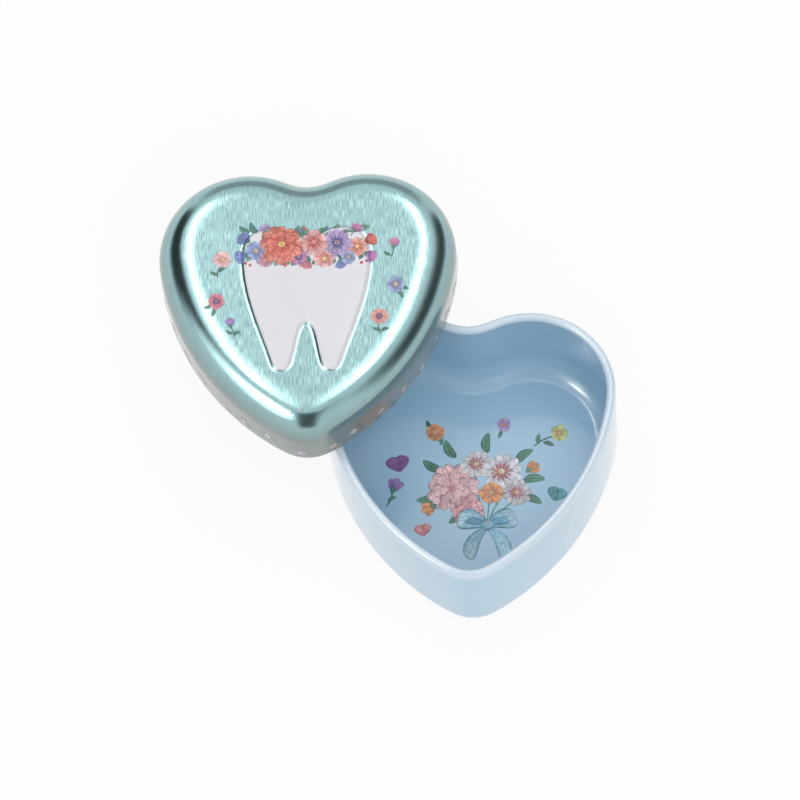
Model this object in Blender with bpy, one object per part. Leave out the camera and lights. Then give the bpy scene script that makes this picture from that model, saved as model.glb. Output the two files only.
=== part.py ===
"""Heart-shaped keepsake tin, drawn from thin tinplate.

A deep tray with a rim curled inwards, and a slip lid with a broad rounded shoulder, a hemmed
edge and a tooth pressed up in its panel. The lid is off and lies level across the tray's rim.
Metres, +Z up. The origin is the middle of the tray's flat underside, and +Y runs from the
heart's tip to its notch.
"""
import math

import bmesh
import bpy

MM = 0.001

# Outline of the tray's wall: two lobes, a notch between them, two long sides and a tip.
TRAY_WIDTH = 65.0 * MM
TRAY_LENGTH = 64.4 * MM
LOBE_RADIUS = 19.3 * MM
NOTCH_RADIUS = 9.8 * MM
SIDE_RADIUS = 56.6 * MM
TIP_RADIUS = 9.2 * MM

# Tinplate of both pieces.
SHEET = 0.23 * MM

# Tray.
TRAY_HEIGHT = 27.0 * MM
TRAY_CORNER_RADIUS = 5.6 * MM
CURL_RADIUS = 1.0 * MM
CURL_END_GAP = 0.4 * MM

# Lid.
LID_CLEARANCE = 0.15 * MM
LID_HEIGHT = 14.0 * MM
LID_SHOULDER_RADIUS = 6.5 * MM
PANEL_EDGE_RADIUS = 14.0 * MM
PANEL_EDGE_DEGREES = 10.0
HEM_HEIGHT = 1.6 * MM

# Tooth pressed up in the lid's panel. Its width is a share of the tray's width, and its height and
# its drop below the panel's middle are shares of the tray's length.
TOOTH_SIZE_SHARES = (0.426, 0.536)
TOOTH_DROP_SHARE = 0.007
TOOTH_RELIEF = 0.5 * MM
TOOTH_SLOPE = 0.45 * MM

# The right half of the tooth, from the dip in its crown over the lobe and down to the crotch
# between the roots. Each row is a Bezier curve's two handles and its end, across as shares of
# half the width, and up from the root tips as shares of the height.
TOOTH_START_SHARES = (0.0, 0.925)
TOOTH_CURVE_SHARES = (
    ((0.18, 0.925), (0.30, 1.0), (0.56, 1.0)),
    ((0.84, 1.0), (1.0, 0.93), (1.0, 0.80)),
    ((1.0, 0.52), (0.70, 0.28), (0.52, 0.035)),
    ((0.47, -0.012), (0.31, -0.012), (0.27, 0.045)),
    ((0.17, 0.16), (0.10, 0.336), (0.0, 0.336)),
)
TOOTH_CURVE_STEPS = (4, 5, 5, 3, 5)

# Where the lid lies, moved from the tray's middle by shares of the tray's width and length.
LID_PLACE_SHARES = (-0.545, 0.463)
SEAT_GAP = 0.3 * MM

# Facets.
NOTCH_STEPS = 3
LOBE_STEPS = 14
SIDE_STEPS = 6
TIP_STEPS = 6
CORNER_STEPS = 6
CREST_STEPS = 3
CURL_STEPS = 7
PANEL_EDGE_STEPS = 2
SHOULDER_STEPS = 7
HEM_STEPS = 4
SMOOTH_DEGREES = 35.0


def polar(centre, radius, angle):
    """Point at an angle on a circle."""
    return centre[0] + radius * math.cos(angle), centre[1] + radius * math.sin(angle)


def arc(centre, radius, start, end, steps):
    """Points along an arc, both ends included."""
    return [polar(centre, radius, start + (end - start) * k / steps) for k in range(steps + 1)]


def direction(start, end):
    """Angle of the line from one point to another."""
    return math.atan2(end[1] - start[1], end[0] - start[0])


def heart_centres():
    """Centres of the arcs on the right half: notch, lobe, side and tip, each tangent to the next."""
    lobe = (TRAY_WIDTH / 2 - LOBE_RADIUS, TRAY_LENGTH / 2 - LOBE_RADIUS)
    tip = (0.0, TIP_RADIUS - TRAY_LENGTH / 2)
    notch = (0.0, lobe[1] + math.sqrt((NOTCH_RADIUS + LOBE_RADIUS) ** 2 - lobe[0] ** 2))
    to_lobe = SIDE_RADIUS - LOBE_RADIUS
    to_tip = SIDE_RADIUS - TIP_RADIUS
    span = math.dist(lobe, tip)
    along = (to_lobe ** 2 - to_tip ** 2 + span ** 2) / (2 * span)
    across = math.sqrt(to_lobe ** 2 - along ** 2)
    unit = ((tip[0] - lobe[0]) / span, (tip[1] - lobe[1]) / span)
    side = (lobe[0] + along * unit[0] + across * unit[1], lobe[1] + along * unit[1] - across * unit[0])
    return notch, lobe, side, tip


def heart_outline(offset):
    """Closed heart, moved outwards by offset. Its arcs keep their centres, so it stays parallel."""
    notch, lobe, side, tip = heart_centres()
    right = arc(notch, NOTCH_RADIUS - offset, -math.pi / 2, direction(notch, lobe), NOTCH_STEPS)
    right += arc(lobe, LOBE_RADIUS + offset, direction(lobe, notch), direction(side, lobe), LOBE_STEPS)[1:]
    right += arc(side, SIDE_RADIUS + offset, direction(side, lobe), direction(side, tip), SIDE_STEPS)[1:]
    right += arc(tip, TIP_RADIUS + offset, direction(side, tip), -math.pi / 2, TIP_STEPS)[1:]
    left = [(-x, y) for x, y in right[-2:0:-1]]
    return right + left


def tooth_outline(inset):
    """Closed tooth, moved inwards by inset along its normals."""
    half = [TOOTH_START_SHARES]
    for (handle_a, handle_b, end), steps in zip(TOOTH_CURVE_SHARES, TOOTH_CURVE_STEPS):
        start = half[-1]
        for k in range(1, steps + 1):
            t = k / steps
            weights = ((1 - t) ** 3, 3 * t * (1 - t) ** 2, 3 * t * t * (1 - t), t ** 3)
            corners = (start, handle_a, handle_b, end)
            half.append(tuple(sum(w * c[axis] for w, c in zip(weights, corners)) for axis in (0, 1)))
    shares = half + [(-u, v) for u, v in half[-2:0:-1]]
    width, height = TOOTH_SIZE_SHARES[0] * TRAY_WIDTH, TOOTH_SIZE_SHARES[1] * TRAY_LENGTH
    drop = TOOTH_DROP_SHARE * TRAY_LENGTH
    points = [(u * width / 2, (v - 0.5) * height - drop) for u, v in shares]
    moved = []
    for before, point, after in zip(points[-1:] + points[:-1], points, points[1:] + points[:1]):
        run = direction(before, after)
        moved.append(polar(point, inset, run - math.pi / 2))
    return moved


def start_mesh():
    """Empty bmesh whose points remember their place along their outline."""
    bm = bmesh.new()
    bm.verts.layers.int.new("place")
    return bm


def add_loop(bm, outline, height):
    """Closed loop of edges along an outline at one height."""
    place = bm.verts.layers.int["place"]
    verts = [bm.verts.new((x, y, height)) for x, y in outline]
    for index, vert in enumerate(verts):
        vert[place] = index
    return [bm.edges.new(pair) for pair in zip(verts, verts[1:] + verts[:1])]


def extrude_loop(bm, loop, outline, height):
    """Extrude a loop of edges on to an outline at another height, and return the new loop."""
    place = bm.verts.layers.int["place"]
    grown = bmesh.ops.extrude_edge_only(bm, edges=loop)["geom"]
    verts = {item for item in grown if isinstance(item, bmesh.types.BMVert)}
    for vert in verts:
        vert.co = (*outline[vert[place]], height)
    edges = (item for item in grown if isinstance(item, bmesh.types.BMEdge))
    return [edge for edge in edges if verts.issuperset(edge.verts)]


def sweep_profile(bm, profile):
    """Carry a profile of (offset, height) points round the heart, and return its end loops."""
    (offset, height), *others = profile
    first = last = add_loop(bm, heart_outline(offset), height)
    for offset, height in others:
        last = extrude_loop(bm, last, heart_outline(offset), height)
    return first, last


def finish(name, bm, material):
    """Turn a closed bmesh into a smooth-shaded object."""
    bmesh.ops.recalc_face_normals(bm, faces=bm.faces)
    mesh = bpy.data.meshes.new(name)
    bm.to_mesh(mesh)
    bm.free()
    mesh.shade_smooth()
    mesh.set_sharp_from_angle(angle=math.radians(SMOOTH_DEGREES))
    mesh.materials.append(material)
    piece = bpy.data.objects.new(name, mesh)
    bpy.context.scene.collection.objects.link(piece)
    return piece


def lacquered_tinplate(name, colour, metallic, roughness):
    """Coloured lacquer over tinplate."""
    material = bpy.data.materials.new(name)
    material.use_nodes = True
    shader = material.node_tree.nodes["Principled BSDF"]
    shader.inputs["Base Color"].default_value = (*colour, 1.0)
    shader.inputs["Metallic"].default_value = metallic
    shader.inputs["Roughness"].default_value = roughness
    material.diffuse_color = (*colour, 1.0)
    return material


def tray_face(depth):
    """Profile of the tray's face at a depth in its sheet: corner, wall and curled rim."""
    corner = (-TRAY_CORNER_RADIUS, TRAY_CORNER_RADIUS)
    curl = (-CURL_RADIUS, TRAY_HEIGHT - CURL_RADIUS)
    curl_end = 2 * math.pi - math.acos((CURL_RADIUS - SHEET - CURL_END_GAP) / CURL_RADIUS)
    face = arc(corner, TRAY_CORNER_RADIUS - depth, -math.pi / 2, 0.0, CORNER_STEPS)
    face += arc(curl, CURL_RADIUS - depth, 0.0, math.pi / 2, CREST_STEPS)
    return face + arc(curl, CURL_RADIUS - depth, math.pi / 2, curl_end, CURL_STEPS)[1:]


def make_tray():
    """Tray: flat floor, rounded corner, upright wall and a rim curled inwards on itself."""
    bm = start_mesh()
    underside, floor = sweep_profile(bm, tray_face(0.0) + tray_face(SHEET)[::-1])
    bmesh.ops.contextual_create(bm, geom=underside)
    bmesh.ops.contextual_create(bm, geom=floor)
    return finish("tray", bm, lacquered_tinplate("pale_blue_lacquer", (0.44, 0.60, 0.74), 0.0, 0.25))


def lid_face(depth):
    """Profile of the lid's face at a depth in its sheet: gently bent panel edge, then shoulder."""
    level = math.pi / 2
    bent = level - math.radians(PANEL_EDGE_DEGREES)
    apart = PANEL_EDGE_RADIUS - LID_SHOULDER_RADIUS
    shoulder = (
        LID_CLEARANCE + 2 * SHEET - LID_SHOULDER_RADIUS,
        LID_HEIGHT - PANEL_EDGE_RADIUS + apart * math.sin(bent),
    )
    panel_edge = polar(shoulder, -apart, bent)
    face = arc(panel_edge, PANEL_EDGE_RADIUS - depth, level, bent, PANEL_EDGE_STEPS)
    return face + arc(shoulder, LID_SHOULDER_RADIUS - depth, bent, 0.0, SHOULDER_STEPS)[1:]


def press_tooth(bm, panel, height, inset):
    """Close a panel round the tooth, which stands up from it on a short slope."""
    foot = add_loop(bm, tooth_outline(inset), height)
    bmesh.ops.triangle_fill(bm, use_beauty=True, edges=panel + foot)
    brow = extrude_loop(bm, foot, tooth_outline(inset + TOOTH_SLOPE), height + TOOTH_RELIEF)
    bmesh.ops.triangle_fill(bm, use_beauty=True, edges=brow)


def make_lid():
    """Lid: panel with its tooth, rounded shoulder, upright skirt and an edge folded flat inside."""
    skirt_inside = LID_CLEARANCE + SHEET
    hem = arc((skirt_inside, SHEET), SHEET, 0.0, -math.pi, HEM_STEPS)
    hem += [(LID_CLEARANCE, HEM_HEIGHT), (skirt_inside, HEM_HEIGHT)]
    bm = start_mesh()
    top_panel, under_panel = sweep_profile(bm, lid_face(0.0) + hem + lid_face(SHEET)[::-1])
    press_tooth(bm, top_panel, LID_HEIGHT, 0.0)
    press_tooth(bm, under_panel, LID_HEIGHT - SHEET, SHEET / 2)
    lid = finish("lid", bm, lacquered_tinplate("teal_lacquer", (0.33, 0.58, 0.56), 0.9, 0.3))
    across, along = LID_PLACE_SHARES
    lid.location = (across * TRAY_WIDTH, along * TRAY_LENGTH, TRAY_HEIGHT + SEAT_GAP)
    return lid


for item in list(bpy.data.objects):
    bpy.data.objects.remove(item, do_unlink=True)

make_tray()
make_lid()
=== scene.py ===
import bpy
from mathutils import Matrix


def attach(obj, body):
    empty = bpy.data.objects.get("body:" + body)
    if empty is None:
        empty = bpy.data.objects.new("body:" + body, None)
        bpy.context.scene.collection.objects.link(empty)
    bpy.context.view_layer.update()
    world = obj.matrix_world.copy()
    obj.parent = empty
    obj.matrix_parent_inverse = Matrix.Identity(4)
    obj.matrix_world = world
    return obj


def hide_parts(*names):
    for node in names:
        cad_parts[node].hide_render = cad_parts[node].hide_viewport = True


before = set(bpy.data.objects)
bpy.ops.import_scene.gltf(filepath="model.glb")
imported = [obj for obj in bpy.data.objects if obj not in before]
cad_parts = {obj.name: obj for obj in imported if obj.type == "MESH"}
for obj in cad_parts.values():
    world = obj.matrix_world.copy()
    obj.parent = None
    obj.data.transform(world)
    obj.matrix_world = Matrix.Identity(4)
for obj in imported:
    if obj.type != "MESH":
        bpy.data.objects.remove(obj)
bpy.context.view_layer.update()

import math

import bpy
import numpy as np
from mathutils import Matrix, Vector
from mathutils.geometry import tessellate_polygon

# Tray. A blank of tinplate, lacquered pale blue on both faces, is drawn into a heart with a round
# bottom corner. Its raw edge is then rolled inwards, which leaves a hollow bead as the rim.
MM = 0.001
TRAY_WIDTH = 65.0 * MM
TRAY_LENGTH = 64.4 * MM
TRAY_HEIGHT = 27.0 * MM
LOBE_RADIUS = 19.3 * MM
NOTCH_RADIUS = 9.8 * MM
SIDE_RADIUS = 56.6 * MM
TIP_RADIUS = 9.2 * MM
SHEET = 0.23 * MM
TRAY_CORNER = 5.6 * MM
BEAD_RADIUS = 1.0 * MM
BEAD_GAP = 0.4 * MM
HEART_EASE = 1.5 * MM
HEART_POINTS = 480
# Depths below the rim between which the bead's colour is painted paler: a painted highlight on the bead.
BEAD_HIGHLIGHT_SPAN = (2.4 * BEAD_RADIUS, 0.8 * BEAD_RADIUS)


def bearing(start, end):
    """Angle in degrees of the line from one point to another."""
    return math.degrees(math.atan2(end[1] - start[1], end[0] - start[0]))


def arc(centre, radius, start, end, steps):
    """Points on a circle, centre + radius (cos a, sin a), at even angles a in degrees."""
    angle = np.radians(np.linspace(start, end, steps + 1))
    return np.asarray(centre) + radius * np.stack([np.cos(angle), np.sin(angle)], axis=1)


def even_loop(points, count, ease):
    """Closed loop at even steps of its length, and its outward normals.

    Each point is taken as a complex number x + iy. The loop is blurred along its length: each
    Fourier term of f turns per metre is multiplied by exp(-2 (pi f ease)^2). The normal is the
    loop's derivative turned a quarter left, which is outward because the loop runs clockwise.
    """
    closed = np.concatenate([points, points[:1]])
    along = np.concatenate([[0.0], np.cumsum(np.linalg.norm(np.diff(closed, axis=0), axis=1))])
    at = np.arange(count) / count * along[-1]
    line = np.interp(at, along, closed[:, 0]) + 1j * np.interp(at, along, closed[:, 1])
    turns = np.fft.fftfreq(count, along[-1] / count)
    terms = np.fft.fft(line) * np.exp(-2 * (math.pi * turns * ease) ** 2)
    smooth = np.fft.ifft(terms)
    heading = np.fft.ifft(terms * 2j * math.pi * turns)
    normal = 1j * heading / np.abs(heading)
    return np.stack([smooth.real, smooth.imag], axis=1), np.stack([normal.real, normal.imag], axis=1)


def heart_loop():
    """Heart of tangent arcs about the centres of the notch, lobe, side and tip, and its mirror."""
    lobe = np.array([TRAY_WIDTH / 2 - LOBE_RADIUS, TRAY_LENGTH / 2 - LOBE_RADIUS])
    tip = np.array([0.0, TIP_RADIUS - TRAY_LENGTH / 2])
    notch = np.array([0.0, lobe[1] + math.sqrt((NOTCH_RADIUS + LOBE_RADIUS) ** 2 - lobe[0] ** 2)])
    to_lobe = SIDE_RADIUS - LOBE_RADIUS
    to_tip = SIDE_RADIUS - TIP_RADIUS
    span = np.linalg.norm(tip - lobe)
    unit = (tip - lobe) / span
    reach = (to_lobe**2 - to_tip**2 + span**2) / (2 * span)
    side = lobe + reach * unit + math.sqrt(to_lobe**2 - reach**2) * np.array([unit[1], -unit[0]])
    half = np.concatenate([
        arc(notch, NOTCH_RADIUS, -90, bearing(notch, lobe), 40),
        arc(lobe, LOBE_RADIUS, bearing(lobe, notch), bearing(side, lobe), 200)[1:],
        arc(side, SIDE_RADIUS, bearing(side, lobe), bearing(side, tip), 200)[1:],
        arc(tip, TIP_RADIUS, bearing(side, tip), -90, 40)[1:],
    ])
    return even_loop(np.concatenate([half, half[-2:0:-1] * [-1, 1]]), HEART_POINTS, HEART_EASE)


def sweep(profile, loop):
    """Grid (profile, loop, 3): each loop point moved by the profile's offset out, and up."""
    points, normals = loop
    flat = points[None] + profile[:, None, :1] * normals[None]
    return np.concatenate([flat, np.broadcast_to(profile[:, None, 1:], flat.shape[:2] + (1,))], axis=2)


def skin(rows, columns, start=0):
    """Quads of a grid whose columns close into a ring."""
    here = np.arange((rows - 1) * columns).reshape(rows - 1, columns) + start
    beside = np.roll(here, -1, axis=1)
    return np.stack([here, here + columns, beside + columns, beside], axis=-1).reshape(-1, 4)


def fan(ring, pole, outward):
    """Triangles from a ring of point numbers to one pole, facing along outward, 1 up or -1 down."""
    following = np.roll(ring, -1)
    middle = np.full_like(ring, pole)
    return np.stack([ring, middle, following] if outward > 0 else [middle, ring, following], axis=1)


def tray_face(depth):
    """Profile of the tray's face at a depth in its sheet: corner, upright wall and rolled bead."""
    bead = (-BEAD_RADIUS, TRAY_HEIGHT - BEAD_RADIUS)
    bead_end = 360 - math.degrees(math.acos((BEAD_RADIUS - SHEET - BEAD_GAP) / BEAD_RADIUS))
    return np.concatenate([
        arc((-TRAY_CORNER, TRAY_CORNER), TRAY_CORNER - depth, -90, 0, 24),
        arc(bead, BEAD_RADIUS - depth, 0, 90, 12),
        arc(bead, BEAD_RADIUS - depth, 90, bead_end, 26)[1:],
    ])


def make_piece(name, points, faces, *materials):
    """Smooth-shaded mesh object from points (n, 3) and lists of faces."""
    mesh = bpy.data.meshes.new(name)
    mesh.from_pydata(points, [], faces)
    mesh.shade_smooth()
    for material in materials:
        mesh.materials.append(material)
    made = bpy.data.objects.new(name, mesh)
    bpy.context.scene.collection.objects.link(made)
    return made


def linear(code):
    """Linear RGBA of an sRGB hex colour."""
    srgb = np.array([int(code[k:k + 2], 16) for k in (1, 3, 5)]) / 255
    rgb = np.where(srgb <= 0.04045, srgb / 12.92, ((srgb + 0.055) / 1.055) ** 2.4)
    return (*rgb.tolist(), 1.0)


def add(tree, kind, inputs=None, **settings):
    """Add a node with its settings. Each input gets a value, or a link where it is an output."""
    made = tree.nodes.new("ShaderNode" + kind)
    for key, value in settings.items():
        setattr(made, key, value)
    for socket, value in (inputs or {}).items():
        if isinstance(value, bpy.types.NodeSocket):
            tree.links.new(value, made.inputs[socket])
        else:
            made.inputs[socket].default_value = value
    return made


def ramp(tree, value, start, end, low=0.0, high=1.0):
    """Value carried evenly from start..end to low..high, and held beyond them."""
    return add(tree, "MapRange", {"Value": value, 1: start, 2: end, 3: low, 4: high}).outputs[0]


def math_node(tree, operation, *values):
    """Result of one step of arithmetic on one to three values."""
    return add(tree, "Math", dict(enumerate(values)), operation=operation).outputs[0]


def blend(tree, share, first, second, kind="MIX"):
    """Colour that goes from a first to a second with the share."""
    inputs = {0: share, 6: first, 7: second}
    return add(tree, "Mix", inputs, data_type="RGBA", blend_type=kind).outputs[2]


def noise(tree, place, size, detail):
    """Noise whose coarsest waves have a size."""
    inputs = {"Vector": place, "Scale": 1 / size, "Detail": detail}
    return add(tree, "TexNoise", inputs).outputs["Fac"]


def new_material(name, **constants):
    """Material with its Principled shader's constant sockets set, its node tree and that shader."""
    material = bpy.data.materials.new(name)
    material.use_nodes = True
    shader = material.node_tree.nodes["Principled BSDF"]
    for socket, value in constants.items():
        shader.inputs[socket.replace("_", " ")].default_value = value
    return material, material.node_tree, shader


def blue_lacquer():
    """Stoved enamel lacquer: glossy and even, with a faint orange peel. Its colour is painted paler
    on the bead, as a painted highlight along the rim."""
    material, tree, shader = new_material(
        "stoved_pale_blue_lacquer", Roughness=0.24, IOR=1.5,
        Coat_Weight=1.0, Coat_Roughness=0.06, Coat_IOR=1.5)
    place = add(tree, "TexCoord").outputs["Object"]
    height = add(tree, "SeparateXYZ", {0: place}).outputs[2]
    cloud = noise(tree, place, 14 * MM, 3.0)
    tint = blend(tree, cloud, linear("#A8CBE3"), linear("#B0D2E7"))
    # Painted highlight: the lacquer colour is lightened towards #D2E3F0 up the bead.
    bead_highlight_share = ramp(tree, height, TRAY_HEIGHT - BEAD_HIGHLIGHT_SPAN[0], TRAY_HEIGHT - BEAD_HIGHLIGHT_SPAN[1])
    paler = blend(tree, bead_highlight_share, tint, linear("#D2E3F0"))
    grit = ramp(tree, noise(tree, place, 0.35 * MM, 2.0), 0.35, 0.7, 0.98, 1.01)
    tree.links.new(blend(tree, 1.0, paler, grit, "MULTIPLY"), shader.inputs["Base Color"])
    peel = noise(tree, place, 1.4 * MM, 1.0)
    bump = add(tree, "Bump", {"Height": peel, "Strength": 0.12, "Distance": 0.03 * MM})
    tree.links.new(bump.outputs[0], shader.inputs["Normal"])
    tree.links.new(bump.outputs[0], shader.inputs["Coat Normal"])
    return material


heart = heart_loop()
tray_profile = np.concatenate([tray_face(0.0), tray_face(SHEET)[::-1]])
tray_grid = sweep(tray_profile, heart)
tray_rows, tray_columns = tray_grid.shape[:2]
underside_pole = tray_rows * tray_columns
tray_points = np.concatenate([tray_grid.reshape(-1, 3), [[0, 0, 0], [0, 0, SHEET]]])
underside_ring = np.arange(tray_columns)
floor_ring = underside_ring + (tray_rows - 1) * tray_columns
tray_faces = skin(tray_rows, tray_columns).tolist()
tray_faces += fan(underside_ring, underside_pole, -1).tolist()
tray_faces += fan(floor_ring, underside_pole + 1, 1).tolist()
tray = make_piece("drawn_tray", tray_points, tray_faces, blue_lacquer())
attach(tray, "tray")
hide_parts("tray")

# Lid. A second blank, brushed and clear-lacquered teal, is drawn shallower with a broad round
# shoulder, then the panel is struck: its edge slopes, and a tooth stands up in its middle. The
# skirt's raw edge is folded flat inside as a hem. Inside, the tin is bare under clear lacquer.
LID_CLEARANCE = 0.15 * MM
LID_HEIGHT = 14.0 * MM
LID_SHOULDER = 6.5 * MM
PANEL_EDGE_RADIUS = 20.0 * MM
PANEL_EDGE_DEGREES = 10
HEM_HEIGHT = 1.6 * MM
SKIRT_INK = (7.5 * MM, 12.4 * MM)
SMOOTHED = 0.6 * MM
LID_MIDDLE = np.array([-0.545 * TRAY_WIDTH, 0.463 * TRAY_LENGTH])
LID_BASE = TRAY_HEIGHT + 0.3 * MM
TOOTH_SIZE = np.array([0.426 * TRAY_WIDTH, 0.536 * TRAY_LENGTH])
TOOTH_DROP = 0.007 * TRAY_LENGTH
TOOTH_RELIEF = 0.5 * MM
TOOTH_FOOT = 0.5 * MM
TOOTH_RAMP = 0.95 * MM
EASE_WIDTH = 0.6 * MM
EASE_RISE = 0.06 * MM
EASE_SHARE, EASE_LEAST = 0.85, 0.04
GRAIN_SIZE = (0.20, 2.4)

# The right half of the tooth from the dip in its crown to the crotch between its roots, across in
# half widths and up in heights. Each row is a Bezier curve's two handles and its end.
TOOTH_START = (0.0, 0.925)
TOOTH_CURVES = (
    ((0.18, 0.925), (0.30, 1.0), (0.56, 1.0)),
    ((0.84, 1.0), (1.0, 0.93), (1.0, 0.80)),
    ((1.0, 0.52), (0.70, 0.28), (0.52, 0.035)),
    ((0.47, -0.012), (0.31, -0.012), (0.27, 0.045)),
    ((0.17, 0.17), (0.17, 0.337), (0.0, 0.337)),
)


def lid_face(depth):
    """Profile of the lid's face at a depth in its sheet: the panel's edge, then the shoulder."""
    crease = 90 - PANEL_EDGE_DEGREES
    out = np.array([math.cos(math.radians(crease)), math.sin(math.radians(crease))])
    gap = PANEL_EDGE_RADIUS - LID_SHOULDER
    shoulder = np.array([
        LID_CLEARANCE + 2 * SHEET - LID_SHOULDER,
        LID_HEIGHT - PANEL_EDGE_RADIUS + gap * out[1],
    ])
    edge = shoulder - gap * out
    return np.concatenate([
        arc(edge, PANEL_EDGE_RADIUS - depth, 90, crease, 14),
        arc(shoulder, LID_SHOULDER - depth, crease, 0, 40)[1:],
    ])


def blank_of(profile, loop, start):
    """Where each swept point lay on the flat blank, in millimetres, and the blank's X axis there.

    A point lies at loop + s normal, with s the length along the profile. The blank's X axis keeps
    its part along the loop, and its part along the normal turns with the profile.
    """
    points, normals = loop
    step = np.linalg.norm(np.diff(profile, axis=0), axis=1)
    length = start + np.concatenate([[0.0], np.cumsum(step)])
    blank = (points[None] + length[:, None, None] * normals[None]) / MM
    turn = np.gradient(profile, axis=0)
    turn /= np.linalg.norm(turn, axis=1, keepdims=True)
    along = np.stack([-normals[:, 1], normals[:, 0]], axis=1)
    flat = along[None] * along[None, :, :1] + turn[:, None, :1] * normals[None] * normals[None, :, :1]
    rise = turn[:, None, 1:] * normals[None, :, :1]
    return blank, np.concatenate([flat, rise], axis=2)


def tooth_loop():
    """The tooth's outline from its Bezier rows, and its mirror."""
    t = np.linspace(0, 1, 40)[:, None]
    starts = (TOOTH_START,) + tuple(row[2] for row in TOOTH_CURVES[:-1])
    rows = np.array([(start, *row) for start, row in zip(starts, TOOTH_CURVES)])
    weights = np.stack([(1 - t) ** 3, 3 * t * (1 - t) ** 2, 3 * t * t * (1 - t), t**3])
    half = np.concatenate([(weights * row[:, None, :]).sum(axis=0)[1:] for row in rows])
    shares = np.concatenate([[TOOTH_START], half, half[-2::-1] * [-1, 1]])
    points = (shares - [0, 0.5]) * TOOTH_SIZE * [0.5, 1] - [0, TOOTH_DROP]
    return even_loop(points, 420, 0.2 * MM)


def tooth_ease(loop):
    """Width of the eased foot round the tooth. Between the roots it narrows with the room there."""
    room = np.clip((EASE_SHARE * np.abs(loop[:, 0]) - TOOTH_FOOT) / EASE_WIDTH, EASE_LEAST, 1.0)
    return EASE_WIDTH * np.where(loop[:, 1] < 0, room, 1.0)


def tooth_rise(outside, ease):
    """Height over the panel at a distance outside the tooth's outline.

    The ramp is 3t^2 - 2t^3 of the relief, t from 0 at its foot to 1. Before it, the eased foot
    climbs u^2 of its own rise, u from 0 at its outer edge to 1 at the ramp's foot.
    """
    t = np.clip((TOOTH_FOOT - outside) / TOOTH_RAMP, 0, 1)
    u = np.clip((TOOTH_FOOT + ease - outside) / ease, 0, 1)
    climbed = t * t * (3 - 2 * t)
    return TOOTH_RELIEF * climbed + EASE_RISE * ease / EASE_WIDTH * u * u * (1 - climbed)


def flat_between(outer, holes, points, upward):
    """Triangles of a flat between loops of point numbers, facing up or down."""
    loops = [outer, *holes]
    numbers = np.concatenate(loops)
    lines = [[Vector(p) for p in points[loop]] for loop in loops]
    faces = numbers[np.array(tessellate_polygon(lines))]
    a, b, c = (points[faces[:, k], :2] for k in range(3))
    area = (b - a)[:, 0] * (c - a)[:, 1] - (b - a)[:, 1] * (c - a)[:, 0]
    wrong = area < 0 if upward else area > 0
    faces[wrong] = faces[wrong][:, ::-1]
    return faces


def teal_lacquer():
    """Clear teal lacquer over tinplate brushed along the heart: a metal with fine straight grain.

    The real grain is about 0.05 mm wide. It is drawn four times as wide, which is as fine as it
    can show at this size, and drawing smooths it on the shoulder. Down the skirt a more opaque
    grey-green ink takes over.
    """
    material, tree, shader = new_material(
        "teal_lacquered_brushed_tinplate", Anisotropic=0.35, IOR=1.5, Coat_Weight=0.6,
        Coat_Roughness=0.05, Coat_IOR=1.5)
    blank = add(tree, "UVMap", uv_map="blank").outputs[0]
    height = add(tree, "SeparateXYZ", {0: add(tree, "TexCoord").outputs["Object"]}).outputs[2]
    stretched = add(tree, "Mapping", {0: blank, 3: (1 / GRAIN_SIZE[0], 1 / GRAIN_SIZE[1], 1.0)})
    grain = noise(tree, stretched.outputs[0], 1.0, 2.5)
    panel = LID_BASE + LID_HEIGHT
    flatness = ramp(tree, height, panel - SMOOTHED, panel, 0.3, 1.0)
    centred = math_node(tree, "SUBTRACT", grain, 0.5)
    streak = ramp(tree, math_node(tree, "MULTIPLY", centred, flatness), -0.28, 0.28)
    tint = blend(tree, streak, linear("#719D9F"), linear("#B2D2D4"))
    panelward = ramp(tree, height, LID_BASE + SKIRT_INK[0], LID_BASE + SKIRT_INK[1])
    greyed = blend(tree, panelward, linear("#838D89"), tint)
    drift = ramp(tree, noise(tree, blank, 9.0, 2.0), 0.3, 0.7, 0.95, 1.03)
    tree.links.new(blend(tree, 1.0, greyed, drift, "MULTIPLY"), shader.inputs["Base Color"])
    tree.links.new(ramp(tree, panelward, 0.0, 1.0, 0.2, 1.0), shader.inputs["Metallic"])
    tree.links.new(ramp(tree, grain, 0.3, 0.7, 0.14, 0.20), shader.inputs["Roughness"])
    push = math_node(tree, "MULTIPLY", flatness, 0.08)
    bump = add(tree, "Bump", {"Height": grain, "Strength": push, "Distance": 0.01 * MM})
    tree.links.new(bump.outputs[0], shader.inputs["Normal"])
    along = add(tree, "Attribute", attribute_name="grain").outputs["Vector"]
    tree.links.new(along, shader.inputs["Tangent"])
    return material


def bare_tin():
    """Bright tinplate under clear lacquer: rolled, with faint long rolling lines."""
    material, tree, shader = new_material("clear_lacquered_tinplate", Metallic=1.0, Coat_Weight=0.4)
    blank = add(tree, "UVMap", uv_map="blank").outputs[0]
    stretched = add(tree, "Mapping", {0: blank, 3: (1 / 0.3, 1 / 9.0, 1.0)})
    lines = noise(tree, stretched.outputs[0], 1.0, 3.0)
    tint = blend(tree, lines, linear("#BFC2C1"), linear("#D6D8D6"))
    tree.links.new(tint, shader.inputs["Base Color"])
    tree.links.new(ramp(tree, lines, 0.0, 1.0, 0.24, 0.36), shader.inputs["Roughness"])
    return material


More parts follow.
